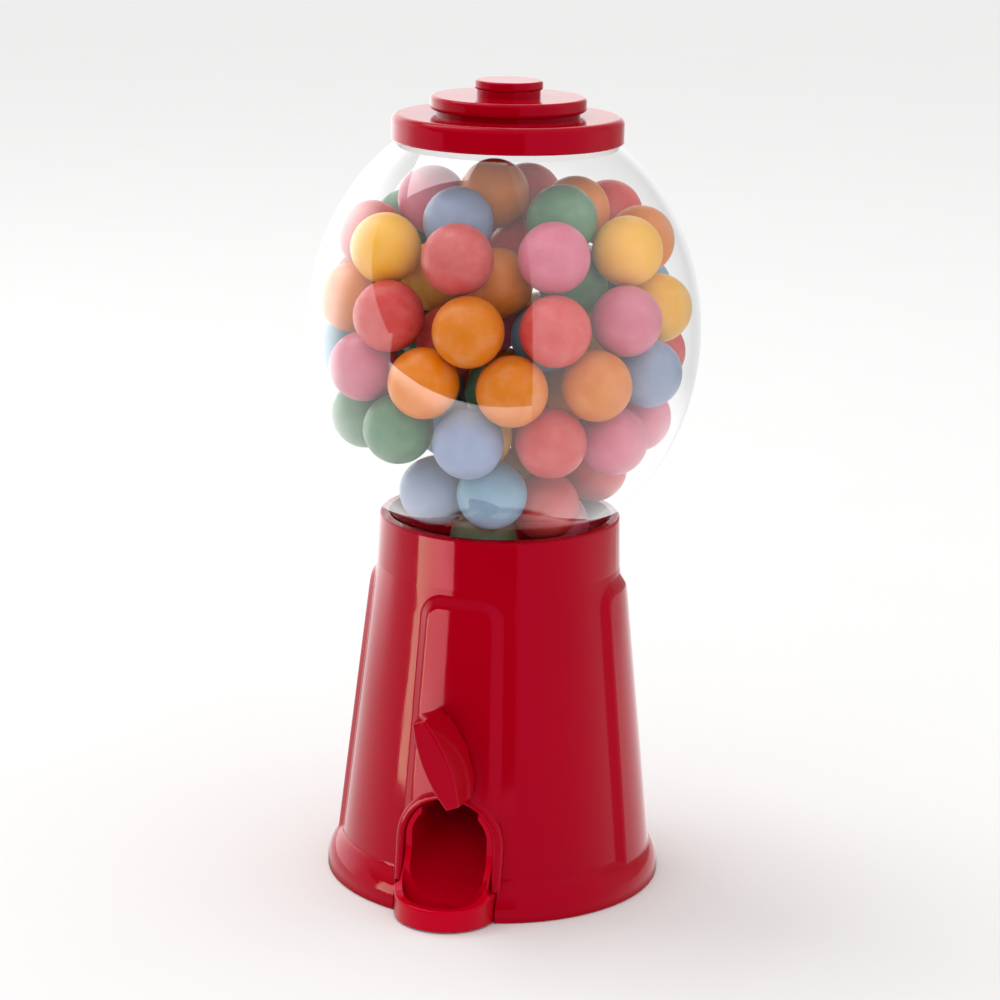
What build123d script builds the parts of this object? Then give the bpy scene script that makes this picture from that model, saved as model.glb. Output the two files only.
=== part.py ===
"""A small plastic gumball machine: a red moulded base with a turning knob and a delivery tray,
a clear egg-shaped globe full of gumballs, and a stepped lid that lifts off.

The frame: millimetres, +Z up, the origin on the axis of the globe, level with the underside of
the base. The knob and the tray face -Y. Turning the knob turns a wheel with one pocket: a gumball
drops from the hopper into the pocket at the top, is carried half a turn inside the housing, and
rolls out forward at the bottom, down the chute to the tray.
"""

from build123d import *
import math
import os

# ---------------------------------------------------------------- driving dimensions
BALL_D = 13.0  # a nominal half-inch gumball
BALL_R = BALL_D / 2
CLEAR = 0.1  # gap between two pieces that are only set side by side
SLIP = 0.03  # gap on each side of a square shaft in its hole
RUNNING = 0.06  # radial gap of a turning fit
WALL = 1.6  # usual moulded wall

# Base: a foot ring that blends into a cone, and a nearly straight collar
FOOT_R, FOOT_EDGE = 32.0, 0.3
FOOT_ROUND_LOW, FOOT_ROUND_R, FOOT_ROUND_ANGLE = 1.4, 6.78, 42.7
FOOT_SLOPE_L, FOOT_BLEND_R, FOOT_BLEND_ANGLE = 1.27, 1.2, 36.3
PANEL_LOW = 3.2
CONE_TOP_R, CONE_TOP = 23.05, 61.0
CONE_TAPER = 0.112  # the cone's radius lost per mm of height
COLLAR_R, COLLAR_TOP = 22.75, 70.6
COLLAR_BORE, COLLAR_ROUND = 21.0, 0.5
LEDGE_TOP, LEDGE_T, LEDGE_BORE = 63.5, 1.5, 18.6

# Four raised panels round the cone
PANEL_TOP = 60.0
PANEL_HALF_ANGLE = 20.4
PANEL_RAISE = 1.0
PANEL_BEVEL, PANEL_BEVEL_DEPTH = 2.1, 1.25
PANEL_CORNER = 4.8
PANEL_EDGE_R, PANEL_ROOT_R = 1.6, 1.2  # how soft the two edges of the bevel are

# The arch that the tray comes out of, in the front panel
ARCH_W, ARCH_TOP = 17.4, 22.4
FRAME_W, FRAME_RAISE, FRAME_LOW = 1.7, 1.7, 2.0
FRAME_ROUND, FRAME_INNER_ROUND = 1.3, 0.5
FOOT_GAP_W, FOOT_GAP_TOP = 19.9, 5.8  # the gap in the foot ring, round the tray

# Knob and its bearing
AXIS_Z = 31.6
KNOB_ANGLE = 23.0  # how far the blade's top leans to the left at rest, seen from the front
BLADE_L = 17.2
BLADE_W, BLADE_END_W = 5.0, 2.4  # the front of the leaf-shaped blade
ROOT_W, ROOT_END_W = 7.0, 4.2  # its back, which is wider
BLADE_BACK, BLADE_FRONT = -28.4, -36.6
BLADE_ROUND = 0.45
BLADE_TAPER = 20.0  # degrees; its corners lean less than this from the axis
ROOT_SWEEP_R, ROOT_STEP = 7.25, -29.4  # behind the step, only this much of the blade passes the arch
JOURNAL_R, JOURNAL_BACK = 3.4, -23.2
BEARING_R, BEARING_BACK = 5.2, -23.6
SQUARE = 3.6
SQUARE_FRONT = -30.5
COLLAR_SHAFT_R = 3.15  # the round part of the shaft, in the housing cover
TAIL_R, TAIL_END = 2.15, 11.0
WASHER_R, WASHER_T = 4.5, 0.8

# Dispensing wheel and its housing
WHEEL_R, WHEEL_HALF_W = 17.6, 8.7
POCKET_R = BALL_R + 0.7
POCKET_C = 10.9  # from the wheel's axis to the middle of the pocket's rounded bottom
HOUSING_BORE, HOUSING_R = 18.1, 19.6
HOUSING_FRONT, HOUSING_REAR = -9.0, 9.0
COVER_T = 1.6
EAR_PCR, EAR_R, EAR_BACK = 21.0, 2.3, -1.0
EAR_ANGLES = (35, 145, 215, 325)
PILLAR_X, PILLAR_Y, PILLAR_R = 14.5, -1.0, 3.0
SHOE_HALF_W, SHOE_BOTTOM, SHOE_BACK = 8.9, 7.4, 3.0
SHOE_TOP, PILLAR_TOP, SOCKET_BOTTOM = AXIS_Z - 10, AXIS_Z - 6, AXIS_Z + 12  # all inside the drum's wall

# The way the gumball rolls out: a tilted round channel from the pocket to the tray
ROLL_R = BALL_R + 0.8
ROLL_FALL = 20.0  # degrees
ROLL_TOP = AXIS_Z - HOUSING_BORE + BALL_R

# Hopper
THROAT_R, THROAT_WALL = 7.7, 1.3
THROAT_BOTTOM, THROAT_TOP = 50.2, 57.0
SOCKET_WALL, SOCKET_TOP = 1.4, 54.5
FLANGE_R, FLANGE_T = 20.9, 1.6
DISH_R = 17.8

# Globe: an upright ellipsoid, cut off for the neck and the mouth
GLOBE_A, GLOBE_B, GLOBE_Z = 36.75, 42.2, 105.6
GLOBE_WALL = 1.3
NECK_R, NECK_BOTTOM, NECK_TOP = 20.6, 65.2, 70.7
MOUTH_R, MOUTH_BOTTOM, MOUTH_TOP = 18.6, 141.9, 144.4
BEAD_R, BEAD_Z, BEAD_H = 21.3, 67.1, 0.6

# Lid
LID_R, LID_BOTTOM, LID_FLANGE_TOP = 21.45, 140.9, 145.7
LID_WALL, LID_ROUND, LID_UNDER_ROUND = 1.2, 1.3, 0.4
SKIRT_R, SKIRT_WALL, SKIRT_BOTTOM = 17.1, 1.3, 140.6
CROWN_R, CROWN_NECK_R, CROWN_NECK_TOP, CROWN_TOP = 14.4, 13.2, 146.5, 149.1
BUTTON_R, BUTTON_NECK_R, BUTTON_NECK_TOP, BUTTON_TOP = 6.3, 5.85, 150.3, 152.0
CROWN_ROUND, BUTTON_ROUND = 0.7, 0.5
CROWN_SPIGOT_R, BUTTON_SPIGOT_R, BUTTON_SPIGOT_L = 8.0, 3.2, 1.8
SPIGOT_GAP = 0.05

# Tray and chute
TRAY_R, TRAY_C = 9.7, -29.0
TRAY_BOTTOM, TRAY_LIP, TRAY_WALL = 0.4, 4.4, 1.5
LIP_FLAT, LIP_ROUND = 2.2, 0.5
CHEEK_TOP, CHEEK_FRONT = 12.0, -27.6  # the sides, where they come out of the arch
BOWL_ROUND = 2.4
TRAY_NECK = -31.3  # the tray is wider than the arch in front of this
TRAY_LOW_BACK, TRAY_LOW_TOP = -26.0, 5.6  # and below the arch's frame
CHUTE_HALF_W, CHUTE_TOP, CHUTE_END = 8.5, 22.2, -10.8  # its sides follow the arch, just inside it
CHUTE_WALL, CHUTE_OPEN_HALF_W = 1.0, 5.5  # and it is open this wide along the top

# Base plate and screws
PLATE_R, PLATE_T = 29.0, 2.5
PLATE_NOTCH_HALF_W, PLATE_NOTCH_END = 10.0, -22.0
SCREW_R, SCREW_HEAD_R, SCREW_HEAD_H = 1.2, 2.2, 1.3
SCREW_HEAD_ROUND, SCREW_POINT, SCREW_TIP_R = 0.5, 1.2, 0.3
SLOT_L, SLOT_W, SLOT_D = 2.4, 0.6, 0.6
SCREW_HOLE_R, THROUGH_HOLE_R, TIP_ROOM = 1.25, 1.45, 0.3
COUNTERBORE_R, COUNTERBORE = 2.4, 1.4
LONG_SCREW, SHORT_SCREW, COVER_SCREW, SHAFT_SCREW = 9.0, 4.4, 8.0, 6.0
BOSS_PCR, BOSS_R, BOSS_TOP = 24.6, 3.0, 13.0
BOSS_ANGLES = (90, 210, 330)
CHUTE_LEG_Y, CHUTE_LEG_R = -15.5, 2.6

# Gumballs. Each arc starts at an azimuth, measured from the front towards +X, and goes on that way
# round in even steps, one colour letter a ball.
BALL_GAP = 0.12
COLOURS = {
    "o": "orange",
    "y": "yellow",
    "c": "coral",
    "p": "pink",
    "g": "green",
    "l": "lavender",
    "b": "blue",
}
WALL_ARCS = (  # height, first azimuth, step, colours: these touch the globe
    (122.0, -42, 38, "yc"),
    (121.4, 40, 34, "pyoclpgc"),
    (111.5, -31, 32.7, "cocpyblgpco"),
    (100.8, -44, 32.7, "pooolcgycgb"),
    (91.2, -65, 35, "gglcppboyc"),
    (79.2, -41, 51, "lbccogy"),
)
INNER_ARCS = (  # height, radius, first azimuth, step, colours: these fill the middle and heap up
    (126.0, 4.0, -40, 0, "o"),
    (126.0, 13.5, -14, 0, "l"),
    (124.5, 20.0, 66, 0, "g"),
    (125.5, 16.0, 112, 0, "o"),
    (125.0, 13.5, 172, 84, "cp"),
    (118.0, 5.0, 150, 0, "c"),
    (115.0, 13.5, 17, 72, "ogcpy"),
    (105.0, 0.0, 0, 0, "p"),
    (105.0, 14.5, -20, 60, "cbyopg"),
    (92.0, 0.0, 0, 0, "o"),
    (94.5, 13.5, 10, 72, "gocpl"),
    (84.0, 10.0, -10, 90, "ycob"),
    (77.0, 0.0, 0, 0, "y"),
    (70.5, 7.5, 12, 120, "gpo"),
)
THROAT_BALL_Z = AXIS_Z + WHEEL_R + BALL_R
SETTLE_ROUNDS = 600

DEEP = 60.0  # longer than any cut needs


# ---------------------------------------------------------------- helpers
def body_radius(z):
    """Radius of the cone's outer surface at height z, between the panels."""
    return CONE_TOP_R + CONE_TAPER * (CONE_TOP - z)


def turned(*lines):
    """The solid turned round the Z axis by a closed outline of (radius, height) lines."""
    return revolve(Plane.XZ * make_face(Wire(lines)), Axis.Z)


def turned_polygon(points):
    """The solid turned round the Z axis by a polygon of (radius, height) points."""
    return turned(*Polyline(*points, close=True).edges())


def skin(raise_by, low, high):
    """The cone as a full solid between two heights, its surface moved out by raise_by."""
    return turned_polygon(
        [(0, low), (body_radius(low) + raise_by, low), (body_radius(high) + raise_by, high), (0, high)]
    )


def forward(sketch, start=0.0, end=-DEEP):
    """A sketch of (x, z) swept along Y from start to end."""
    return Pos(0, start, 0) * extrude(Plane.XZ * sketch, start - end)


def along_y(radius, start, end, x=0.0, z=AXIS_Z):
    """A round bar parallel to Y from start to end, start being the nearer to the front."""
    return Pos(x, (start + end) / 2, z) * Rot(90, 0, 0) * Cylinder(radius, abs(end - start))


def upright(radius, low, high, x=0.0, y=0.0):
    """A round bar parallel to Z."""
    return Pos(x, y, (low + high) / 2) * Cylinder(radius, high - low)


def block(x0, x1, y0, y1, z0, z1):
    """A box between two corners."""
    return Pos((x0 + x1) / 2, (y0 + y1) / 2, (z0 + z1) / 2) * Box(x1 - x0, y1 - y0, z1 - z0)


def arch(half_width, top):
    """A round-topped doorway that stands on the ground and reaches below it."""
    rise = top - half_width
    sides = Pos(0, (rise - 10) / 2) * Rectangle(2 * half_width, rise + 10)
    return sides + Pos(0, rise) * Circle(half_width)


def polar(radius, degrees):
    """(x, y) at an angle from +X."""
    return radius * math.cos(math.radians(degrees)), radius * math.sin(math.radians(degrees))


def screw(length):
    """A pan-head self-tapping screw along +Z, its head's underside at the origin."""
    head = Pos(0, 0, -SCREW_HEAD_H / 2) * Cylinder(SCREW_HEAD_R, SCREW_HEAD_H)
    head = fillet(head.edges().filter_by(GeomType.CIRCLE).sort_by(Axis.Z)[0], SCREW_HEAD_ROUND)
    shank = upright(SCREW_R, 0, length - SCREW_POINT)
    point = Pos(0, 0, length - SCREW_POINT / 2) * Cone(SCREW_R, SCREW_TIP_R, SCREW_POINT)
    slot = Box(SLOT_L, SLOT_W, 2 * SLOT_D) + Box(SLOT_W, SLOT_L, 2 * SLOT_D)
    return head + shank + point - Pos(0, 0, -SCREW_HEAD_H) * slot


# ---------------------------------------------------------------- base
def panel():
    """The front raised panel as a wedge down to the axis, its edges bevelled and softened."""
    half = math.sin(math.radians(PANEL_HALF_ANGLE))
    foot, head = body_radius(PANEL_LOW) * half, body_radius(PANEL_TOP) * half
    corners = [(-foot, PANEL_LOW), (foot, PANEL_LOW), (head, PANEL_TOP), (-head, PANEL_TOP)]
    outline = Polygon(*corners, align=None)
    outline = fillet(outline.vertices().sort_by(Axis.Y)[-2:], PANEL_CORNER)
    wedge = forward(outline) & skin(PANEL_RAISE, PANEL_LOW - 1, PANEL_TOP + 1)
    face = front_face(wedge)
    wedge = chamfer(above(PANEL_LOW + 1, face.edges()), PANEL_BEVEL, PANEL_BEVEL_DEPTH, reference=face)
    return fillet(above(PANEL_LOW + 1, front_face(wedge).edges()), PANEL_EDGE_R)


def front_face(solid):
    """The part of the solid's conical surface that is farthest forward."""
    return solid.faces().filter_by(GeomType.CONE).sort_by(Axis.Y)[0]


def above(height, edges):
    return [e for e in edges if e.center().Z > height]


def panel_roots(shell):
    """The edges where the panels' bevels meet the cone."""
    tall = above(PANEL_LOW + 5, shell.edges())
    return [e for e in tall if e.center().Z < PANEL_TOP + 1 and all(on_cone(e @ t) for t in (0.1, 0.5, 0.9))]


def on_cone(point, raised=0.0):
    return abs(math.hypot(point.X, point.Y) - body_radius(point.Z) - raised) < 0.01


def arch_rim(shell):
    """The edge of the arch's opening, on the front of its frame."""
    half, shoulder = ARCH_W / 2, ARCH_TOP - ARCH_W / 2
    front = [e for e in shell.edges() if all(on_cone(e @ t, FRAME_RAISE) for t in (0.1, 0.5, 0.9))]
    tops = [(e, e @ 0.5) for e in front]
    return [e for e, p in tops if p.Y < 0 and abs(math.hypot(p.X, max(p.Z - shoulder, 0)) - half) < 0.01]


def foot_outline():
    """The outside of the foot ring, from the ground up to where it has blended into the cone."""
    ground = Polyline((0, 0), (FOOT_R - FOOT_EDGE, 0), (FOOT_R, FOOT_EDGE), (FOOT_R, FOOT_ROUND_LOW))
    top = JernArc((FOOT_R, FOOT_ROUND_LOW), (0, 1), FOOT_ROUND_R, FOOT_ROUND_ANGLE)
    slope = Line(top @ 1, top @ 1 + (top % 1) * FOOT_SLOPE_L)
    return [*ground.edges(), top, slope, JernArc(slope @ 1, slope % 1, FOOT_BLEND_R, -FOOT_BLEND_ANGLE)]


def base_shell():
    foot_bore = PLATE_R + CLEAR
    inner_low = body_radius(PLATE_T) - WALL
    inner_high = body_radius(LEDGE_TOP - LEDGE_T) - WALL
    collar_rim = COLLAR_R - COLLAR_ROUND
    foot = foot_outline()
    outside = turned(
        *foot,
        Line(foot[-1] @ 1, (CONE_TOP_R, CONE_TOP)),
        Line((CONE_TOP_R, CONE_TOP), (COLLAR_R, COLLAR_TOP - COLLAR_ROUND)),
        RadiusArc((COLLAR_R, COLLAR_TOP - COLLAR_ROUND), (collar_rim, COLLAR_TOP), -COLLAR_ROUND),
        Line((collar_rim, COLLAR_TOP), (0, COLLAR_TOP)),
        Line((0, COLLAR_TOP), (0, 0)),
    )
    front_panel = panel()
    for quarter in range(4):
        outside += Rot(0, 0, 90 * quarter) * front_panel
    outside = fillet(panel_roots(outside), PANEL_ROOT_R)
    frame = forward(arch(ARCH_W / 2 + FRAME_W, ARCH_TOP + FRAME_W)) & skin(FRAME_RAISE, FRAME_LOW, CONE_TOP)
    outside += fillet(above(FRAME_LOW + 1, front_face(frame).edges()), FRAME_ROUND)
    inside = turned_polygon(
        [
            (0, -1),
            (foot_bore, -1),
            (foot_bore, PLATE_T),
            (inner_low, PLATE_T),
            (inner_high, LEDGE_TOP - LEDGE_T),
            (LEDGE_BORE, LEDGE_TOP - LEDGE_T),
            (LEDGE_BORE, LEDGE_TOP),
            (COLLAR_BORE, LEDGE_TOP),
            (COLLAR_BORE, BEAD_Z - BEAD_H),
            (BEAD_R + CLEAR, BEAD_Z - BEAD_H / 2),
            (BEAD_R + CLEAR, BEAD_Z + BEAD_H / 2),
            (COLLAR_BORE, BEAD_Z + BEAD_H),
            (COLLAR_BORE, COLLAR_TOP + 1),
            (0, COLLAR_TOP + 1),
        ]
    )
    shell = outside - inside
    boss_places = [polar(BOSS_PCR, a) for a in BOSS_ANGLES]
    bosses = Part() + [upright(BOSS_R, PLATE_T, BOSS_TOP, x, y) for x, y in boss_places]
    bearing = along_y(BEARING_R, BLADE_FRONT, BEARING_BACK)
    shell += (bosses + bearing) & skin(0, 0, CONE_TOP)
    shell -= along_y(JOURNAL_R + RUNNING, BLADE_FRONT, BEARING_BACK + 1)
    for x, y in boss_places:
        shell -= upright(SCREW_HOLE_R, 0, COUNTERBORE + LONG_SCREW + TIP_ROOM, x, y)
    shell -= forward(arch(ARCH_W / 2, ARCH_TOP), start=-15)
    shell -= block(-FOOT_GAP_W / 2, FOOT_GAP_W / 2, -40, -20, -1, FOOT_GAP_TOP)
    return fillet(arch_rim(shell), FRAME_INNER_ROUND)


def base_plate():
    plate = upright(PLATE_R, 0, PLATE_T)
    for x, y in SCREW_PLACES + [CHUTE_SCREW_PLACE]:
        plate -= upright(THROUGH_HOLE_R, -1, PLATE_T + 1, x, y)
        plate -= upright(COUNTERBORE_R, -1, COUNTERBORE, x, y)
    return plate - block(-PLATE_NOTCH_HALF_W, PLATE_NOTCH_HALF_W, -40, PLATE_NOTCH_END, -1, PLATE_T + 1)


def base_screws():
    return [Pos(x, y, COUNTERBORE) * screw(LONG_SCREW) for x, y in SCREW_PLACES]


def tray_screw():
    x, y = CHUTE_SCREW_PLACE
    return Pos(x, y, COUNTERBORE) * screw(SHORT_SCREW)


# ---------------------------------------------------------------- dispensing wheel, shaft and knob
def wheel():
    pocket_z = AXIS_Z - POCKET_C
    body = along_y(WHEEL_R, -WHEEL_HALF_W, WHEEL_HALF_W)
    slot = Pos(0, pocket_z) * Circle(POCKET_R)
    slot += Pos(0, pocket_z - WHEEL_R / 2) * Rectangle(2 * POCKET_R, WHEEL_R)
    body -= Pos(0, 0, pocket_z) * Sphere(POCKET_R) + upright(POCKET_R, 0, pocket_z) + forward(slot)
    return body - square_bar(SQUARE + 2 * SLIP, -DEEP, DEEP)


def square_bar(side, start, end):
    return block(-side / 2, side / 2, start, end, AXIS_Z - side / 2, AXIS_Z + side / 2)


def knob_shaft():
    shaft = square_bar(SQUARE, SQUARE_FRONT, WHEEL_HALF_W)
    shaft += along_y(COLLAR_SHAFT_R, HOUSING_FRONT - COVER_T - 1, -WHEEL_HALF_W - RUNNING)
    shaft += along_y(TAIL_R, WHEEL_HALF_W, TAIL_END)
    return shaft - along_y(SCREW_HOLE_R, TAIL_END - SHAFT_SCREW - TIP_ROOM, TAIL_END + 1)


def shaft_washer():
    return along_y(WASHER_R, TAIL_END, TAIL_END + WASHER_T) - along_y(SCREW_R + CLEAR, 0, DEEP)


def shaft_screw():
    return Pos(0, TAIL_END + WASHER_T, AXIS_Z) * Rot(90, 0, 0) * screw(SHAFT_SCREW)


def leaf(length, width, end_width):
    """The outline of the knob's blade: two shallow arcs between two narrow ends."""
    x, end, z = width / 2, end_width / 2, length / 2
    left, right = ThreePointArc((-end, -z), (-x, 0), (-end, z)), ThreePointArc((end, z), (x, 0), (end, -z))
    return make_face(Wire([left, Line((-end, z), (end, z)), right, Line((end, -z), (-end, -z))]))


def knob():
    root = Pos(0, BLADE_BACK, 0) * (Plane.XZ * leaf(BLADE_L, ROOT_W, ROOT_END_W))
    tip = Pos(0, BLADE_FRONT, 0) * (Plane.XZ * leaf(BLADE_L, BLADE_W, BLADE_END_W))
    blade = loft([root.face(), tip.face()])
    corners = blade.edges().filter_by(Axis.Y, tolerance=BLADE_TAPER)
    blade = fillet(blade.edges().group_by(Axis.Y)[0] + corners, BLADE_ROUND)
    blade = Pos(0, 0, AXIS_Z) * Rot(0, -KNOB_ANGLE, 0) * blade
    blade -= along_y(BLADE_L, ROOT_STEP, BLADE_BACK + 1) - along_y(ROOT_SWEEP_R, -DEEP, DEEP)
    journal = along_y(JOURNAL_R, BLADE_BACK, JOURNAL_BACK)
    return blade + journal - square_bar(SQUARE + 2 * SLIP, SQUARE_FRONT - CLEAR, 0)


# ---------------------------------------------------------------- wheel housing
def roll_way(headroom=0.0):
    """The space that a gumball rolls through, from the foot of the wheel forward."""
    fall = math.radians(ROLL_FALL)
    start = Plane(origin=(0, 0, ROLL_TOP), x_dir=(1, 0, 0), z_dir=(0, -math.cos(fall), -math.sin(fall)))
    section = Circle(ROLL_R)
    if headroom:
        section += Pos(0, headroom / 2) * Rectangle(2 * ROLL_R, headroom)
    return start * extrude(section, DEEP) + Pos(0, 0, ROLL_TOP) * Sphere(ROLL_R)


def roll_floor(y):
    """Height of the channel's floor at y."""
    fall = math.radians(ROLL_FALL)
    return ROLL_TOP + y * math.tan(fall) - ROLL_R / math.cos(fall)


def ear_places():
    places = [polar(EAR_PCR, a) for a in EAR_ANGLES]
    return [(x, AXIS_Z + z) for x, z in places]


def wheel_housing():
    rear = HOUSING_REAR + WALL
    socket_r = THROAT_R + THROAT_WALL + CLEAR + SOCKET_WALL
    outer = along_y(HOUSING_R, HOUSING_FRONT, rear)
    outer += upright(socket_r, SOCKET_BOTTOM, SOCKET_TOP)
    outer -= block(-DEEP, DEEP, -DEEP, HOUSING_FRONT, 0, AXIS_Z + HOUSING_R + CLEAR)
    outer += block(-SHOE_HALF_W, SHOE_HALF_W, HOUSING_FRONT, SHOE_BACK, SHOE_BOTTOM, SHOE_TOP)
    lip_top = AXIS_Z - HOUSING_R - CLEAR
    screw_end = HOUSING_FRONT - COVER_T + COVER_SCREW + TIP_ROOM
    outer += block(-SHOE_HALF_W, SHOE_HALF_W, HOUSING_FRONT - COVER_T, HOUSING_FRONT, SHOE_BOTTOM, lip_top)
    for x, z in ear_places():
        outer += along_y(EAR_R, HOUSING_FRONT, EAR_BACK, x, z)
    for side in (-1, 1):
        outer += upright(PILLAR_R, PLATE_T, PILLAR_TOP, side * PILLAR_X, PILLAR_Y)
    outer -= along_y(HOUSING_BORE, HOUSING_FRONT - 1, HOUSING_REAR) + roll_way()
    outer -= upright(THROAT_R + CLEAR, AXIS_Z, DEEP)
    outer -= upright(THROAT_R + THROAT_WALL + CLEAR, THROAT_BOTTOM - CLEAR, DEEP)
    outer -= along_y(TAIL_R + RUNNING, 0, DEEP)
    for x, z in ear_places():
        outer -= along_y(SCREW_HOLE_R, HOUSING_FRONT - 1, screw_end, x, z)
    for side in (-1, 1):
        outer -= upright(SCREW_HOLE_R, 0, COUNTERBORE + LONG_SCREW + TIP_ROOM, side * PILLAR_X, PILLAR_Y)
    return outer


def housing_cover():
    front = HOUSING_FRONT - COVER_T
    cover = along_y(HOUSING_R, front, HOUSING_FRONT)
    for x, z in ear_places():
        cover += along_y(EAR_R, front, HOUSING_FRONT, x, z)
    for x, z in ear_places():
        cover -= along_y(THROUGH_HOLE_R, -DEEP, DEEP, x, z)
    return cover - along_y(COLLAR_SHAFT_R + RUNNING, -DEEP, DEEP) - roll_way()


def cover_screws():
    front = HOUSING_FRONT - COVER_T
    return [Pos(x, front, z) * Rot(-90, 0, 0) * screw(COVER_SCREW) for x, z in ear_places()]


def hopper():
    slope = (LEDGE_TOP + FLANGE_T - THROAT_TOP) / (DISH_R - THROAT_R)
    outer_r = THROAT_R + THROAT_WALL
    return turned_polygon(
        [
            (THROAT_R, THROAT_BOTTOM),
            (outer_r, THROAT_BOTTOM),
            (outer_r, THROAT_TOP - FLANGE_T + slope * THROAT_WALL),
            (DISH_R, LEDGE_TOP),
            (FLANGE_R, LEDGE_TOP),
            (FLANGE_R, LEDGE_TOP + FLANGE_T),
            (DISH_R, LEDGE_TOP + FLANGE_T),
            (THROAT_R, THROAT_TOP),
        ]
    )


# ---------------------------------------------------------------- tray
def on_lip(edge):
    """Whether an edge is the outer one of the tray's lip."""
    points = [edge @ t for t in (0.1, 0.5, 0.9)]
    return all(
        abs(math.hypot(p.X, p.Y - TRAY_C) - TRAY_R) < 0.01 and p.Z > TRAY_LIP - CLEAR for p in points
    )


def delivery_tray():
    front = TRAY_C - TRAY_R
    under = TRAY_WALL / math.cos(math.radians(ROLL_FALL))
    chute_under = roll_floor(CHUTE_END) - under
    bend = (TRAY_BOTTOM + under - roll_floor(0)) / math.tan(math.radians(ROLL_FALL))
    lip_back = (front + LIP_FLAT, TRAY_LIP)
    cheek = (CHEEK_FRONT, CHEEK_TOP)
    chute_top = Polyline((CHUTE_END, chute_under), (CHUTE_END, CHUTE_TOP), (CHEEK_FRONT, CHUTE_TOP), cheek)
    sweep = TangentArc(lip_back, cheek, tangent=(1, 0))
    bottom_points = [(front - 1, TRAY_LIP), (front - 1, TRAY_BOTTOM), (bend, TRAY_BOTTOM)]
    bottom = Polyline(lip_back, *bottom_points, (CHUTE_END, chute_under))
    profile = make_face(Wire([*chute_top.edges(), sweep, *bottom.edges()]))
    scoop = upright(TRAY_R, 0, DEEP, y=TRAY_C)
    outline = forward(arch(CHUTE_HALF_W, CHUTE_TOP), start=CHUTE_END, end=TRAY_NECK)
    outline += scoop & block(-DEEP, DEEP, -DEEP, TRAY_NECK, 0, DEEP)
    outline += scoop & block(-DEEP, DEEP, TRAY_NECK, TRAY_LOW_BACK, 0, TRAY_LOW_TOP)
    body = outline & extrude(Plane.YZ * profile, TRAY_R + 1, both=True)
    bowl_floor = TRAY_BOTTOM + TRAY_WALL
    bowl = upright(TRAY_R - TRAY_WALL, bowl_floor, DEEP, y=TRAY_C)
    bowl = fillet(bowl.edges().sort_by(Axis.Z)[0], BOWL_ROUND)
    body -= bowl & block(-DEEP, DEEP, -DEEP, TRAY_C, 0, DEEP)
    inside = forward(arch(CHUTE_HALF_W - CHUTE_WALL, CHUTE_TOP - CHUTE_WALL))
    inside += block(-CHUTE_OPEN_HALF_W, CHUTE_OPEN_HALF_W, -DEEP, 0, 0, DEEP)
    body -= roll_way(DEEP) & inside & block(-DEEP, DEEP, TRAY_C - 1, 0, bowl_floor, DEEP)
    body = fillet([e for e in body.edges() if on_lip(e)], LIP_ROUND)
    x, y = CHUTE_SCREW_PLACE
    leg = upright(CHUTE_LEG_R, PLATE_T, roll_floor(y) - under / 2, x, y)
    return body + leg - upright(SCREW_HOLE_R, 0, COUNTERBORE + SHORT_SCREW + TIP_ROOM, x, y)


# ---------------------------------------------------------------- globe
def egg(a, b):
    """A solid upright ellipsoid about the globe's centre."""
    arc = EllipticalCenterArc((0, GLOBE_Z), a, b, start_angle=-90, arc_size=180)
    return turned(arc, Line(arc @ 1, arc @ 0))


def globe():
    outside = egg(GLOBE_A, GLOBE_B) & block(-DEEP, DEEP, -DEEP, DEEP, NECK_TOP, MOUTH_BOTTOM)
    outside += upright(NECK_R, NECK_BOTTOM, NECK_TOP) + upright(MOUTH_R, MOUTH_BOTTOM, MOUTH_TOP)
    low, high = BEAD_Z - BEAD_H, BEAD_Z + BEAD_H
    outside += turned_polygon([(0, low), (NECK_R, low), (BEAD_R, BEAD_Z), (NECK_R, high), (0, high)])
    inside = egg(GLOBE_A - GLOBE_WALL, GLOBE_B - GLOBE_WALL)
    inside += upright(NECK_R - GLOBE_WALL, NECK_BOTTOM - 1, NECK_TOP + 0.6)
    inside += upright(MOUTH_R - GLOBE_WALL, MOUTH_BOTTOM - 3, MOUTH_TOP + 1)
    return outside - inside


# ---------------------------------------------------------------- lid
def lid_cap():
    ceiling = LID_FLANGE_TOP - LID_WALL
    outside = upright(LID_R, LID_BOTTOM, LID_FLANGE_TOP)
    outside = fillet(outside.edges().sort_by(Axis.Z)[-1], LID_ROUND)
    outside = fillet(outside.edges().sort_by(Axis.Z)[0], LID_UNDER_ROUND)
    cap = outside - upright(LID_R - LID_WALL, LID_BOTTOM - 1, ceiling)
    cap += upright(SKIRT_R, SKIRT_BOTTOM, ceiling) - upright(SKIRT_R - SKIRT_WALL, 0, ceiling)
    return cap - upright(CROWN_SPIGOT_R + SPIGOT_GAP, ceiling - 1, LID_FLANGE_TOP + 1)


def lid_crown():
    disc = upright(CROWN_R, CROWN_NECK_TOP, CROWN_TOP)
    disc = fillet(disc.edges().filter_by(GeomType.CIRCLE), CROWN_ROUND)
    crown = disc + upright(CROWN_NECK_R, LID_FLANGE_TOP, CROWN_NECK_TOP + 0.5)
    crown -= upright(CROWN_NECK_R - LID_WALL, 0, CROWN_TOP - LID_WALL)
    crown += upright(CROWN_SPIGOT_R, LID_FLANGE_TOP - LID_WALL, CROWN_TOP - LID_WALL / 2)
    crown -= upright(CROWN_SPIGOT_R - LID_WALL, 0, CROWN_TOP - LID_WALL)
    return crown - upright(BUTTON_SPIGOT_R + SPIGOT_GAP, CROWN_TOP - 2 * LID_WALL, CROWN_TOP + 1)


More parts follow.
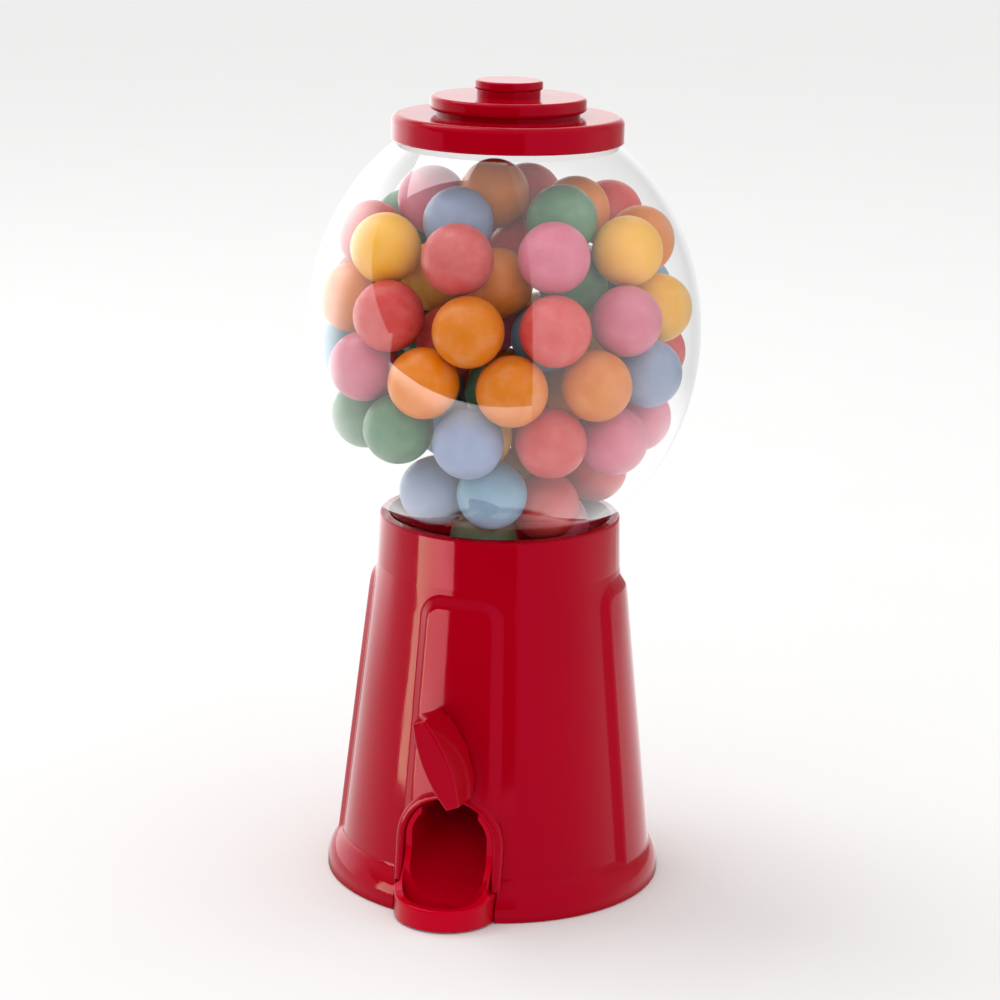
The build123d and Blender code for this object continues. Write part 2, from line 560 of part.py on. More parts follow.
def lid_button():
    top = upright(BUTTON_R, BUTTON_NECK_TOP, BUTTON_TOP)
    top = fillet(top.edges().filter_by(GeomType.CIRCLE), BUTTON_ROUND)
    neck = upright(BUTTON_NECK_R, CROWN_TOP, BUTTON_NECK_TOP + 0.5)
    return top + neck + upright(BUTTON_SPIGOT_R, CROWN_TOP - BUTTON_SPIGOT_L, CROWN_TOP)


# ---------------------------------------------------------------- gumballs
def wall_radius(z):
    """How far from the axis a gumball's middle can be at height z inside the globe."""
    room = 1 - ((z - GLOBE_Z) / (GLOBE_B - GLOBE_WALL - BALL_R - BALL_GAP)) ** 2
    in_globe = (GLOBE_A - GLOBE_WALL - BALL_R - BALL_GAP) * math.sqrt(max(room, 0))
    in_neck = NECK_R - GLOBE_WALL - BALL_R - BALL_GAP
    return max(in_globe, in_neck) if z < GLOBE_Z else in_globe


def settle(middles):
    """Moves overlapping gumballs apart, a little at a time, inside the globe and on the hopper."""
    slope = math.atan2(LEDGE_TOP + FLANGE_T - THROAT_TOP, DISH_R - THROAT_R)
    pitch = 2 * BALL_R + BALL_GAP
    for _ in range(SETTLE_ROUNDS):
        for i, a in enumerate(middles):
            for b in middles[:i]:
                gap = [a[k] - b[k] for k in range(3)]
                apart = math.hypot(*gap)
                if apart < pitch:
                    push = (pitch - apart) / 2 / apart
                    for k in range(3):
                        a[k] += gap[k] * push
                        b[k] -= gap[k] * push
            r = math.hypot(a[0], a[1])
            limit = wall_radius(a[2])
            if r > limit:
                a[0], a[1] = a[0] * limit / r, a[1] * limit / r
                r = limit
            floor = THROAT_TOP + (r - THROAT_R) * math.tan(slope) + (BALL_R + BALL_GAP) / math.cos(slope)
            a[2] = max(a[2], floor)
        middles[0][:] = (0.0, 0.0, THROAT_BALL_Z + BALL_GAP)
    return middles


def gumballs():
    """Every gumball as (colour letter, middle)."""
    letters, middles = ["l"], [[0.0, 0.0, THROAT_BALL_Z]]
    wall_arcs = [(z, wall_radius(z), first, step, colours) for z, first, step, colours in WALL_ARCS]
    for z, radius, first, step, colours in [*wall_arcs, *INNER_ARCS]:
        for i, letter in enumerate(colours):
            x, y = polar(radius, first - 90 + step * i)
            letters.append(letter)
            middles.append([x, y, z])
    return list(zip(letters, settle(middles)))


SCREW_PLACES = [polar(BOSS_PCR, a) for a in BOSS_ANGLES] + [(-PILLAR_X, PILLAR_Y), (PILLAR_X, PILLAR_Y)]
CHUTE_SCREW_PLACE = (0.0, CHUTE_LEG_Y)

PARTS = {
    "base_shell": base_shell,
    "base_plate": base_plate,
    "base_screws": base_screws,
    "tray_screw": tray_screw,
    "delivery_tray": delivery_tray,
    "wheel_housing": wheel_housing,
    "housing_cover": housing_cover,
    "cover_screws": cover_screws,
    "hopper": hopper,
    "dispensing_wheel": wheel,
    "knob_shaft": knob_shaft,
    "shaft_washer": shaft_washer,
    "shaft_screw": shaft_screw,
    "knob": knob,
    "globe": globe,
    "lid_cap": lid_cap,
    "lid_crown": lid_crown,
    "lid_button": lid_button,
}


def save(shape, name):
    """Writes one node; a list of like pieces goes in as separate solids."""
    export_step(Compound(children=shape) if isinstance(shape, list) else shape, f"parts/{name}.step")


if __name__ == "__main__":
    os.makedirs("parts", exist_ok=True)
    for name, make in PARTS.items():
        save(make(), name)
    heap = gumballs()
    for letter, colour in COLOURS.items():
        balls = [Pos(*middle) * Sphere(BALL_R) for mark, middle in heap if mark == letter]
        save(balls, f"gumballs_{colour}")
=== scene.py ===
"""A small gumball machine: materials, a smooth globe, real-looking gumballs, light and camera."""

import math
import random

import bmesh
import bpy
from mathutils import Matrix, Vector, noise


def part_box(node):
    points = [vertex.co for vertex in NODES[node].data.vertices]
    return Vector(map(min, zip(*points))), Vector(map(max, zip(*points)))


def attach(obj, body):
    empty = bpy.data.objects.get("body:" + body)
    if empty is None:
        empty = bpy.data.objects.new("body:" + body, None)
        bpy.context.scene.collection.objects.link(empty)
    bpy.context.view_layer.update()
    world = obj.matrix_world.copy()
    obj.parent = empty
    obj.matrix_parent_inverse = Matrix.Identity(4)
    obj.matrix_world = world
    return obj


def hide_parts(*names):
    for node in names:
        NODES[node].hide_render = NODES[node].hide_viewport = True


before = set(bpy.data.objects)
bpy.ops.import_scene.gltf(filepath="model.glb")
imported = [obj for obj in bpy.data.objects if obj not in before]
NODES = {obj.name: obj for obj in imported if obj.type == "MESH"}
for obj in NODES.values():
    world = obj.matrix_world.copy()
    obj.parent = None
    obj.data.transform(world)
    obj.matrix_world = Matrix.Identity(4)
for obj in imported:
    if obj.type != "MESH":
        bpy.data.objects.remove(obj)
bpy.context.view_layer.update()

MM = 0.001

# The camera, at the photograph's viewing angle: metres and degrees
CAMERA_TURN = 17.0  # from straight in front, towards the machine's +X side
CAMERA_DISTANCE, CAMERA_HEIGHT = 0.5355, 0.21006
CAMERA_PITCH, CAMERA_ROLL = -14.38, 1.232
CAMERA_LENS = 105.13

# The studio. Azimuths are in degrees from the camera's side, positive to its right; elevations are in
# degrees above the horizon.
FRONT = Vector((math.sin(math.radians(CAMERA_TURN)), -math.cos(math.radians(CAMERA_TURN)), 0))
RIGHT = Vector((math.cos(math.radians(CAMERA_TURN)), math.sin(math.radians(CAMERA_TURN)), 0))
ROOM_LIGHT = 0.95  # what lights the object
WALL_LIGHT, BACK_LIGHT = 1.3, 1.4  # how bright gloss sees the walls: at the sides, and straight behind
LEFT_BACK, RIGHT_BACK = 2.8, 0.45  # and behind on the left and on the right
LEFT_BACK_TURN, RIGHT_BACK_TURN = (-120.0, -100.0), (85.0, 125.0)  # the azimuths where those begin
BACK_TURN = (145.0, 180.0)  # and where they fade into what is straight behind
FLOOR_LIGHT, SILL_LIGHT = 1.25, 2.4
FLOOR_FADE = (0.15, 0.40)  # metres from the origin; beyond, the floor is as bright as the walls
CONTACT_SHADE, CONTACT_LIGHT = (0.031, 0.036), 0.05  # the dark rim where the foot meets the floor

# The dark doorway that gloss reflects
DOOR_LEFT, DOOR_RIGHT = -66.0, 16.5
DOOR_LEFT_SOFT, DOOR_RIGHT_SOFT = 0.7, 0.4  # how soft its edges are
DOOR_LEAN_FROM, DOOR_LEAN = -4.0, 1.25  # its left edge leans outwards from this elevation up
DOOR_FADE, DOOR_DARK, DOOR_HAZE = (8.0, 50.0), 0.985, 0.20  # darkest at its foot, pale high up
DOOR_SILL, SILL_SOFT, SILL_DEPTH = 0.217, 0.003, 0.09  # metres in front of the machine
SILL_TURN, SILL_RIGHT = (-40.0, 5.0), 0.35  # the sill is brightest on the left
BESIDE_FAR, BESIDE_NEAR = 62.0, 46.0  # how far left of the doorway the dim wall beside it begins
BESIDE_FADE, BESIDE_DIM = (12.0, 45.0), 0.95

# The globe's half axes, centre height and wall, in millimetres, as in the CAD
GLOBE_WIDE, GLOBE_TALL, GLOBE_MIDDLE = 36.75, 42.2, 105.6
GLOBE_WALL = 1.3
NECK_R, MOUTH_R, BEAD_R = 20.6, 18.6, 21.3
BEAD_UP, BEAD_HALF = 1.9, 0.6  # the bead's height above the globe's bottom, and half its thickness

CANDY = {
    "orange": (0.70, 0.19, 0.0),
    "yellow": (0.84, 0.42, 0.025),
    "coral": (0.60, 0.055, 0.05),
    "pink": (0.62, 0.13, 0.21),
    "green": (0.085, 0.22, 0.11),
    "lavender": (0.24, 0.30, 0.46),
    "blue": (0.19, 0.35, 0.48),
}


# ---------------------------------------------------------------- node helpers
class Nodes:
    """A short way to write a shader tree."""

    def __init__(self, owner, output="ShaderNodeOutputMaterial"):
        owner.use_nodes = True
        self.owner = owner
        self.tree = owner.node_tree
        self.tree.nodes.clear()
        self.out = self.tree.nodes.new(output)

    def feed(self, socket, value):
        if isinstance(value, bpy.types.NodeSocket):
            self.tree.links.new(value, socket)
        else:
            socket.default_value = value

    def add(self, kind, settings=None, **inputs):
        """A node: settings are its own properties; inputs are set, or linked to a socket."""
        node = self.tree.nodes.new("ShaderNode" + kind)
        for key, value in (settings or {}).items():
            setattr(node, key, value)
        for key, value in inputs.items():
            self.feed(node.inputs[key.replace("_", " ")], value)
        return node

    def calc(self, operation, *values):
        node = self.add("Math", {"operation": operation})
        for socket, value in zip(node.inputs, values):
            self.feed(socket, value)
        return node.outputs[0]

    def dot(self, vector, constant):
        node = self.add("VectorMath", {"operation": "DOT_PRODUCT"})
        self.feed(node.inputs[0], vector)
        node.inputs[1].default_value = constant
        return node.outputs["Value"]

    def ramp(self, value, low, high, at_low=0.0, at_high=1.0):
        """A smooth change from at_low to at_high as value goes from low to high."""
        node = self.add("MapRange", {"interpolation_type": "SMOOTHSTEP"}, Value=value)
        for key, number in zip(("From Min", "From Max", "To Min", "To Max"), (low, high, at_low, at_high)):
            node.inputs[key].default_value = number
        return node.outputs["Result"]

    def mottle(self, place, size, detail=2.0, roughness=0.5):
        """Noise from 0 to 1 with features of about this many millimetres."""
        scale = 1 / (size * MM)
        return self.add("TexNoise", Vector=place, Scale=scale, Detail=detail, Roughness=roughness).outputs[0]

    def colour_mix(self, factor, a, b):
        node = self.add("Mix", {"data_type": "RGBA"})
        self.feed(node.inputs[0], factor)
        self.feed(node.inputs[6], a)
        self.feed(node.inputs[7], b)
        return node.outputs[2]

    def bump(self, *layers):
        """Bumps of (height socket, depth in millimetres), one on top of another."""
        normal = None
        for height, depth in layers:
            node = self.add("Bump", Height=height, Distance=depth * MM)
            if normal:
                self.feed(node.inputs["Normal"], normal)
            normal = node.outputs["Normal"]
        return normal

    def shader_mix(self, factor, a, b):
        node = self.add("MixShader")
        for socket, value in zip(node.inputs, (factor, a, b)):
            self.feed(socket, value)
        return node.outputs[0]

    def finish(self, shader):
        self.feed(self.out.inputs["Surface"], shader)
        return self.owner


def new_material(name):
    return Nodes(bpy.data.materials.new(name))


def paint(material, *names):
    """Gives CAD nodes a material."""
    for name in names:
        mesh = NODES[name].data
        mesh.materials.clear()
        mesh.materials.append(material)


# ---------------------------------------------------------------- materials
def scaled(colour, factor):
    """A colour made darker or lighter, with its alpha."""
    return (*(min(channel * factor, 1.0) for channel in colour), 1)


def gloss_red():
    """High-gloss moulded polystyrene: faint flow marks, a slight waviness, a few rubbed spots."""
    n = new_material("gloss_red_plastic")
    place = n.add("TexCoord").outputs["Object"]
    flow = n.mottle(place, 22, 3.0)
    grain = n.mottle(place, 0.5)
    rubbed = n.ramp(n.mottle(place, 9, 4.0, 0.65), 0.52, 0.72, 0.085, 0.15)
    colour = n.colour_mix(flow, (0.42, 0.0, 0.0085, 1), (0.38, 0.0, 0.007, 1))
    normal = n.bump((n.mottle(place, 14), 0.05), (grain, 0.0012))
    body = n.add("BsdfPrincipled", Base_Color=colour, Roughness=rubbed, IOR=1.3, Normal=normal)
    body.inputs["Specular Tint"].default_value = (1, 0.15, 0.45, 1)
    return n.finish(body.outputs["BSDF"])


def outside(n, place):
    """1 on the globe's outer surface, 0 on its inner one."""
    from_middle = n.add("VectorMath", {"operation": "SUBTRACT"})
    n.feed(from_middle.inputs[0], place)
    from_middle.inputs[1].default_value = (0, 0, GLOBE_MIDDLE * MM)
    share = n.add("VectorMath", {"operation": "DIVIDE"})
    n.feed(share.inputs[0], from_middle.outputs["Vector"])
    share.inputs[1].default_value = (GLOBE_WIDE * MM, GLOBE_WIDE * MM, GLOBE_TALL * MM)
    span = n.add("VectorMath", {"operation": "LENGTH"}, Vector=share.outputs["Vector"]).outputs["Value"]
    return n.ramp(span, 0.975, 0.99)


def clear_globe():
    """Clear polystyrene, so thin that it doesn't bend what is seen through it. Only the outside of the wall
    mirrors; near its outline, where it is seen edge on, it is greyer with painted shade."""
    n = new_material("clear_globe_plastic")
    place = n.add("TexCoord").outputs["Object"]
    haze = n.ramp(n.mottle(place, 12, 4.0, 0.6), 0.5, 0.75, 0.02, 0.06)
    normal = n.bump((n.mottle(place, 30, 1.0), 0.03))
    facing_out = n.calc("SUBTRACT", 1.0, n.add("NewGeometry").outputs["Backfacing"])
    front = n.calc("MULTIPLY", outside(n, place), facing_out)
    edge_on = n.ramp(n.add("LayerWeight", Blend=0.5).outputs["Facing"], 0.80, 0.98)
    # Painted shade: the see-through wall is greyer near its outline, where it is seen edge on.
    see_through_shade = n.colour_mix(n.calc("MULTIPLY", edge_on, front), (0.99, 0.99, 0.99, 1), (0.70, 0.70, 0.72, 1))
    through = n.add("BsdfTransparent", Color=see_through_shade)
    mirror = n.add("BsdfAnisotropic", Color=(1, 1, 1, 1), Roughness=haze, Normal=normal)
    one_face = n.add("Fresnel", IOR=1.49, Normal=normal).outputs[0]
    both_faces = n.calc("MINIMUM", n.calc("MULTIPLY", one_face, 2.0), 0.45)
    wall = n.shader_mix(n.calc("MULTIPLY", both_faces, front), through.outputs[0], mirror.outputs[0])
    clear = n.add("BsdfTransparent", Color=(0.97, 0.97, 0.97, 1))
    shadow = n.add("LightPath").outputs["Is Shadow Ray"]
    return n.finish(n.shader_mix(shadow, wall, clear.outputs[0]))


def candy(name, colour):
    """A satin sugar shell: each gumball its own shade, faintly mottled, with pinholes darkened by painted
    shade, and a waxy coat.
    """
    n = new_material("candy_" + name)
    place = n.add("TexCoord").outputs["Object"]
    ball = n.add("NewGeometry").outputs["Random Per Island"]
    shade = n.colour_mix(ball, scaled(colour, 0.90), scaled(colour, 1.08))
    cloud = n.ramp(n.mottle(place, 3.2, 4.0, 0.6), 0.35, 0.70)
    pale = n.colour_mix(cloud, shade, n.colour_mix(0.05, shade, (1, 0.97, 0.92, 1)))
    cell = n.add("TexVoronoi", Vector=place, Scale=1 / (0.9 * MM), Randomness=1.0).outputs["Distance"]
    hole = n.calc("MULTIPLY", n.ramp(cell, 0.05, 0.14, 1.0, 0.0), n.ramp(n.mottle(place, 2.5), 0.52, 0.60))
    # Painted shade: the colour is made darker inside the pinholes.
    pit_shaded = n.colour_mix(n.calc("MULTIPLY", hole, 0.35), pale, scaled(colour, 0.45))
    normal = n.bump(
        (n.mottle(place, 2.4, 2.0), 0.05),
        (n.mottle(place, 0.35, 2.0), 0.006),
        (n.calc("SUBTRACT", 1.0, hole), 0.03),
    )
    satin = n.ramp(n.mottle(place, 1.5, 3.0), 0.3, 0.7, 0.34, 0.48)
    body = n.add("BsdfPrincipled", Base_Color=pit_shaded, Roughness=satin, IOR=1.46, Normal=normal)
    body.inputs["Specular IOR Level"].default_value = 0.35
    body.inputs["Coat Weight"].default_value = 0.06
    body.inputs["Coat Roughness"].default_value = 0.22
    body.inputs["Subsurface Weight"].default_value = 0.12
    body.inputs["Subsurface Radius"].default_value = (1.0, 0.5, 0.35)
    body.inputs["Subsurface Scale"].default_value = 1.2 * MM
    return n.finish(body.outputs["BSDF"])


def natural_white():
    """Plain natural polypropylene of the shaft."""
    n = new_material("natural_white_plastic")
    place = n.add("TexCoord").outputs["Object"]
    tone = n.colour_mix(n.mottle(place, 6, 3.0), (0.80, 0.78, 0.74, 1), (0.70, 0.68, 0.63, 1))
    rough = n.ramp(n.mottle(place, 2.0, 3.0), 0.3, 0.7, 0.38, 0.52)
    normal = n.bump((n.mottle(place, 0.6), 0.004))
    body = n.add("BsdfPrincipled", Base_Color=tone, Roughness=rough, IOR=1.49, Normal=normal)
    return n.finish(body.outputs["BSDF"])


def zinc_steel():
    """Zinc-plated steel with a crystalline tint and fine drawing marks."""
    n = new_material("zinc_plated_steel")
    place = n.add("TexCoord").outputs["Object"]
    crystal = n.add("TexVoronoi", Vector=place, Scale=1 / (0.8 * MM)).outputs["Distance"]
    tone = n.colour_mix(crystal, (0.66, 0.66, 0.68, 1), (0.52, 0.53, 0.57, 1))
    rough = n.ramp(n.mottle(place, 0.5, 4.0, 0.7), 0.3, 0.7, 0.22, 0.42)
    normal = n.bump((n.mottle(place, 0.2, 3.0), 0.003))
    body = n.add("BsdfPrincipled", Base_Color=tone, Roughness=rough, Metallic=1.0, Normal=normal)
    return n.finish(body.outputs["BSDF"])


# ---------------------------------------------------------------- pieces that stand for CAD nodes
def add_piece(name, mesh, material, node, body):
    """A smooth piece that stands for a CAD node and rides on its body."""
    obj = bpy.data.objects.new(name, mesh)
    bpy.context.scene.collection.objects.link(obj)
    mesh.materials.append(material)
    for face in mesh.polygons:
        face.use_smooth = True
    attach(obj, body)
    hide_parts(node)
    return obj


def rounded(corners, radius, steps=5):
    """A closed outline with each corner of it rounded by up to radius."""
    out = []
    for i, corner in enumerate(corners):
        corner = Vector(corner)
        before, after = Vector(corners[i - 1]) - corner, Vector(corners[(i + 1) % len(corners)]) - corner
        reach = min(radius, before.length / 2.01, after.length / 2.01)
        a, b = corner + before.normalized() * reach, corner + after.normalized() * reach
        for k in range(steps + 1):
            t = k / steps
            out.append((1 - t) ** 2 * a + 2 * t * (1 - t) * corner + t * t * b)
    return out


def lathe(name, outline, around=288):
    """A mesh turned round Z from a closed outline of (radius, height) in millimetres."""
    mesh = bpy.data.meshes.new(name)
    rings, verts, faces = len(outline), [], []
    for i in range(around):
        angle = 2 * math.pi * i / around
        verts += [(r * math.cos(angle) * MM, r * math.sin(angle) * MM, z * MM) for r, z in outline]
    for i in range(around):
        here, there = i * rings, (i + 1) % around * rings
        for j in range(rings):
            k = (j + 1) % rings
            faces.append((here + j, there + j, there + k, here + k))
    mesh.from_pydata(verts, [], faces)
    mesh.update()
    return mesh


def egg_arc(a, b, low, high, steps):
    """Points on the right side of the globe's upright ellipse between two heights."""
    start, end = math.asin((low - GLOBE_MIDDLE) / b), math.asin((high - GLOBE_MIDDLE) / b)
    turns = [start + (end - start) * i / steps for i in range(steps + 1)]
    return [(a * math.cos(t), GLOBE_MIDDLE + b * math.sin(t)) for t in turns]


def globe():
    """The globe's wall as one smooth turned skin, with its neck bead and mouth."""
    box_low, box_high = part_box("globe")
    bottom, top = box_low[2] / MM, box_high[2] / MM
    bead_z = bottom + BEAD_UP
    outer = [(NECK_R, bottom), (NECK_R, bead_z - BEAD_HALF), (BEAD_R, bead_z), (NECK_R, bead_z + BEAD_HALF)]
    outer += egg_arc(GLOBE_WIDE, GLOBE_TALL, bottom + 5.6, top - 2.6, 96)
    outer += [(MOUTH_R, top - 2.3), (MOUTH_R, top)]
    inner_neck, inner_mouth = NECK_R - GLOBE_WALL, MOUTH_R - GLOBE_WALL
    inner = [(inner_mouth, top), (inner_mouth, top - 2.9)]
    inner_wide, inner_tall = GLOBE_WIDE - GLOBE_WALL, GLOBE_TALL - GLOBE_WALL
    inner += egg_arc(inner_wide, inner_tall, bottom + 6.4, top - 3.3, 96)[::-1]
    inner += [(inner_neck, bottom + 6.0), (inner_neck, bottom)]
    mesh = lathe("globe_skin", rounded(outer + inner, 0.35, 3))
    return add_piece("globe_skin", mesh, clear_globe(), "globe", "base")


def ball_middles(node):
    """The middles of the balls in one CAD node, found from its separate shells."""
    mesh = bmesh.new()
    mesh.from_mesh(NODES[node].data)
    bmesh.ops.remove_doubles(mesh, verts=mesh.verts, dist=1e-6)
    left, middles = set(mesh.verts), []
    while left:
        shell, queue = [], [left.pop()]
        while queue:
            vert = queue.pop()
            shell.append(vert.co)
            for edge in vert.link_edges:
                other = edge.other_vert(vert)
                if other in left:
                    left.remove(other)
                    queue.append(other)
        spans = [(min(p[k] for p in shell), max(p[k] for p in shell)) for k in range(3)]
        radius = (spans[2][1] - spans[2][0]) / 2
        middles.append((Vector([(a + b) / 2 for a, b in spans]), radius))
    mesh.free()
    return sorted(middles, key=lambda ball: (round(ball[0].z, 5), round(ball[0].x, 5)))


def dented(direction, seed, dents):
    """How far in the shell sits in this direction, as a share of the radius: never outside the sphere."""
    offset = Vector((seed * 7.3, seed * 3.1, seed * 5.7))
    depth = 0.010 * (0.5 + 0.5 * noise.noise(direction * 1.4 + offset))
    depth += 0.004 * (0.5 + 0.5 * noise.noise(direction * 4.5 + offset))
    for centre, size, deep in dents:
        near = (direction - centre).length / size
        if near < 1:
            depth += deep * (1 - near * near) ** 2
    return depth


def gumballs(colour, dice):
    """One colour of gumballs, each slightly out of round and with a few shallow dents."""
    mesh = bmesh.new()
    for middle, radius in ball_middles("gumballs_" + colour):
        made = bmesh.ops.create_icosphere(mesh, subdivisions=5, radius=1.0)["verts"]
        seed = dice.uniform(0, 50)
        dents = []
        for _ in range(dice.randint(2, 5)):
            centre = Vector([dice.gauss(0, 1) for _ in range(3)]).normalized()
            dents.append((centre, dice.uniform(0.16, 0.42), dice.uniform(0.004, 0.013)))
        for vert in made:
            direction = vert.co.normalized()
            vert.co = middle + direction * radius * (1 - dented(direction, seed, dents))
    data = bpy.data.meshes.new("balls_" + colour)
    mesh.to_mesh(data)
    mesh.free()
    shell = candy(colour, CANDY[colour])
    return add_piece("balls_" + colour, data, shell, "gumballs_" + colour, "base")


# ---------------------------------------------------------------- studio
def around(azimuth, elevation, distance, height=0.07):
    """A point round the machine."""
    a, e = math.radians(azimuth), math.radians(elevation)
    flat = (FRONT * math.cos(a) + RIGHT * math.sin(a)) * distance * math.cos(e)
    return flat + Vector((0, 0, height + distance * math.sin(e)))


def camera():
    """The camera, at the photograph's place and angle."""
    cam = bpy.data.cameras.new("camera")
    cam.lens = CAMERA_LENS
    cam.sensor_width = 36.0
    cam.clip_start, cam.clip_end = 0.01, 20.0
    eye = bpy.data.objects.new("camera", cam)
    bpy.context.scene.collection.objects.link(eye)
    eye.location = FRONT * CAMERA_DISTANCE + Vector((0, 0, CAMERA_HEIGHT))
    level = Matrix.Rotation(math.radians(CAMERA_TURN), 4, "Z")
    level = level @ Matrix.Rotation(math.radians(90 + CAMERA_PITCH), 4, "X")
    eye.rotation_euler = (level @ Matrix.Rotation(math.radians(CAMERA_ROLL), 4, "Z")).to_euler()
    bpy.context.scene.camera = eye


def soft_light(name, place, aim, width, height, watts):
    """A rectangular lamp at place, facing aim."""
    data = bpy.data.lights.new(name, "AREA")
    data.shape = "RECTANGLE"
    data.size, data.size_y = width, height
    data.energy = watts
    lamp = bpy.data.objects.new(name, data)
    bpy.context.scene.collection.objects.link(lamp)
    lamp.location = place
    lamp.rotation_euler = (Vector(aim) - Vector(place)).to_track_quat("-Z", "Y").to_euler()
    return lamp


def azimuth_of(n, vector):
    """The azimuth of a direction or a place."""
    return n.calc("DEGREES", n.calc("ARCTAN2", n.dot(vector, RIGHT), n.dot(vector, FRONT)))


def doorway(n, azimuth, lean=0.0):
    """1 inside the doorway's azimuths, 0 outside."""
    left = n.ramp(n.calc("ADD", azimuth, lean), DOOR_LEFT - DOOR_LEFT_SOFT, DOOR_LEFT + DOOR_LEFT_SOFT)
    right = n.ramp(azimuth, DOOR_RIGHT - DOOR_RIGHT_SOFT, DOOR_RIGHT + DOOR_RIGHT_SOFT, 1.0, 0.0)
    return n.calc("MULTIPLY", left, right)


def walls(n, azimuth):
    """How bright the walls are in gloss: brightest behind on the left, dim behind on the right."""
    fade, back = BACK_TURN
    right = n.ramp(azimuth, *RIGHT_BACK_TURN, WALL_LIGHT, RIGHT_BACK)
    right = n.calc("ADD", right, n.ramp(azimuth, fade, back, 0.0, BACK_LIGHT - RIGHT_BACK))
    left = n.ramp(azimuth, *LEFT_BACK_TURN, LEFT_BACK - WALL_LIGHT, 0.0)
    left_fade = n.ramp(azimuth, -back, -fade, BACK_LIGHT - LEFT_BACK, 0.0)
    return n.calc("ADD", n.calc("ADD", right, left), left_fade)


def room():
    """An even pale room. In gloss its walls are bright, with a dark doorway on the camera's side."""
    world = bpy.data.worlds.new("studio")
    bpy.context.scene.world = world
    n = Nodes(world, "ShaderNodeOutputWorld")
    direction = n.add("TexCoord").outputs["Generated"]
    azimuth = azimuth_of(n, direction)
    elevation = n.calc("DEGREES", n.calc("ARCSINE", n.add("SeparateXYZ", Vector=direction).outputs["Z"]))
    above = n.calc("MAXIMUM", n.calc("SUBTRACT", elevation, DOOR_LEAN_FROM), 0.0)
    lean = n.calc("MULTIPLY", above, DOOR_LEAN)
    door = n.ramp(elevation, *DOOR_FADE, DOOR_DARK, DOOR_HAZE)
    door = n.calc("MULTIPLY", doorway(n, azimuth, lean), door)
    leaned = n.calc("ADD", azimuth, lean)
    beside = n.calc(
        "MULTIPLY",
        n.ramp(leaned, DOOR_LEFT - BESIDE_FAR, DOOR_LEFT - BESIDE_NEAR),
        n.ramp(leaned, DOOR_LEFT - DOOR_LEFT_SOFT, DOOR_LEFT + DOOR_LEFT_SOFT, 1.0, 0.0),
    )
    dim = n.calc("MULTIPLY", beside, n.ramp(elevation, *BESIDE_FADE, 0.0, BESIDE_DIM))
    dark = n.calc("MAXIMUM", door, dim)
    seen = n.calc("MULTIPLY", walls(n, azimuth), n.calc("SUBTRACT", 1.0, dark))
    gloss = n.add("LightPath").outputs["Is Glossy Ray"]
    room_part = n.calc("MULTIPLY", n.calc("SUBTRACT", 1.0, gloss), ROOM_LIGHT)
    strength = n.calc("ADD", n.calc("MULTIPLY", gloss, seen), room_part)
    n.finish(n.add("Background", Color=(1, 1, 1, 1), Strength=strength).outputs[0])


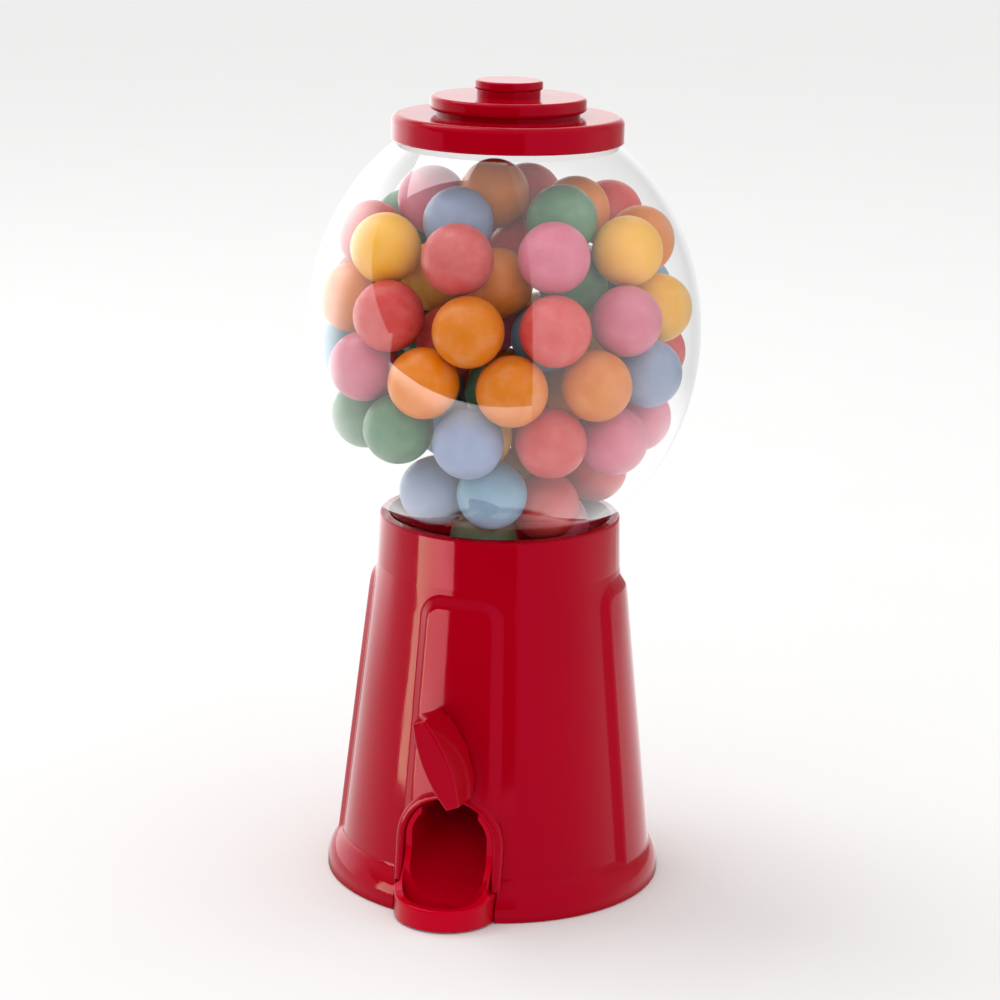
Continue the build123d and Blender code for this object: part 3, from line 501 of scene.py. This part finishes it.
def floor():
    """A pale floor. In gloss it is bright, but not close round the machine, and ends at the doorway."""
    mesh = bpy.data.meshes.new("floor")
    half = 3.0
    corners = [(-half, -half, 0), (half, -half, 0), (half, half, 0), (-half, half, 0)]
    mesh.from_pydata(corners, [], [(0, 1, 2, 3)])
    obj = bpy.data.objects.new("floor", mesh)
    bpy.context.scene.collection.objects.link(obj)
    n = new_material("pale_floor")
    place = n.add("NewGeometry").outputs["Position"]
    azimuth = azimuth_of(n, place)
    ahead = n.dot(place, FRONT)
    door = doorway(n, azimuth)
    dark = n.calc("MULTIPLY", n.ramp(ahead, DOOR_SILL - SILL_SOFT, DOOR_SILL + SILL_SOFT), door)
    sill = n.calc("MULTIPLY", n.ramp(ahead, DOOR_SILL - SILL_DEPTH, DOOR_SILL, 0.0, SILL_LIGHT), door)
    sill = n.calc("MULTIPLY", sill, n.ramp(azimuth, *SILL_TURN, 1.0, SILL_RIGHT))
    away = n.add("VectorMath", {"operation": "LENGTH"}, Vector=place).outputs["Value"]
    far = n.ramp(away, *FLOOR_FADE)
    near_light = n.calc("MULTIPLY", n.calc("SUBTRACT", 1.0, far), FLOOR_LIGHT)
    light = n.calc("ADD", near_light, n.calc("MULTIPLY", walls(n, azimuth), far))
    light = n.calc("MULTIPLY", light, n.ramp(away, *CONTACT_SHADE, CONTACT_LIGHT, 1.0))
    light = n.calc("MULTIPLY", n.calc("ADD", light, sill), n.calc("SUBTRACT", 1.0, dark))
    tone = n.colour_mix(n.mottle(place, 40, 4.0), (0.90, 0.90, 0.895, 1), (0.88, 0.88, 0.875, 1))
    matt = n.add("BsdfDiffuse", Color=tone)
    glow = n.add("Emission", Color=(1, 1, 1, 1), Strength=light)
    gloss = n.add("LightPath").outputs["Is Glossy Ray"]
    mesh.materials.append(n.finish(n.shader_mix(gloss, matt.outputs[0], glow.outputs[0])))


def only_on(lamp, objects, diffuse, glossy):
    """Lets a light act only on these objects, and only in their colour or only in their gloss."""
    receivers = bpy.data.collections.new(lamp.name + "_receivers")
    for obj in objects:
        receivers.objects.link(obj)
    lamp.light_linking.receiver_collection = receivers
    lamp.visible_diffuse, lamp.visible_glossy = diffuse, glossy


# ---------------------------------------------------------------- the model
RED_NODES = (
    "base_shell", "base_plate", "delivery_tray", "wheel_housing", "housing_cover", "hopper",
    "dispensing_wheel", "knob", "lid_cap", "lid_crown", "lid_button",
)
INSIDE_NODES = ("delivery_tray", "wheel_housing", "housing_cover", "dispensing_wheel")
paint(gloss_red(), *RED_NODES)
paint(natural_white(), "knob_shaft")
paint(zinc_steel(), "base_screws", "tray_screw", "cover_screws", "shaft_washer", "shaft_screw")
globe()
shuffle = random.Random(7)
balls = [gumballs(candy_colour, shuffle) for candy_colour in CANDY]

camera()
floor()
room()
soft_light("overhead", around(-120, 62, 0.9), (0, 0, 0.08), 0.5, 0.5, 2.2)
left_card = soft_light("left_card", around(-58, 0, 0.150, 0.026), (0, 0, 0.034), 0.10, 0.060, 0.43)
left_card.data.color = (0.42, 1.0, 0.42)  # the red's gloss is tinted, and this makes up for it
only_on(left_card, [NODES["base_shell"], NODES["knob"]], diffuse=False, glossy=True)
gumball_fill = soft_light("gumball_fill", around(8, 22, 0.7, 0.11), (0, 0, 0.11), 0.4, 0.3, 0.8)
only_on(gumball_fill, balls, diffuse=True, glossy=False)
tray_fill = soft_light("tray_fill", around(-10, 28, 0.5, 0.02), (0, 0, 0.02), 0.3, 0.2, 1.0)
only_on(tray_fill, [NODES[name] for name in INSIDE_NODES], diffuse=True, glossy=False)
bpy.context.scene.view_settings.view_transform = "Standard"
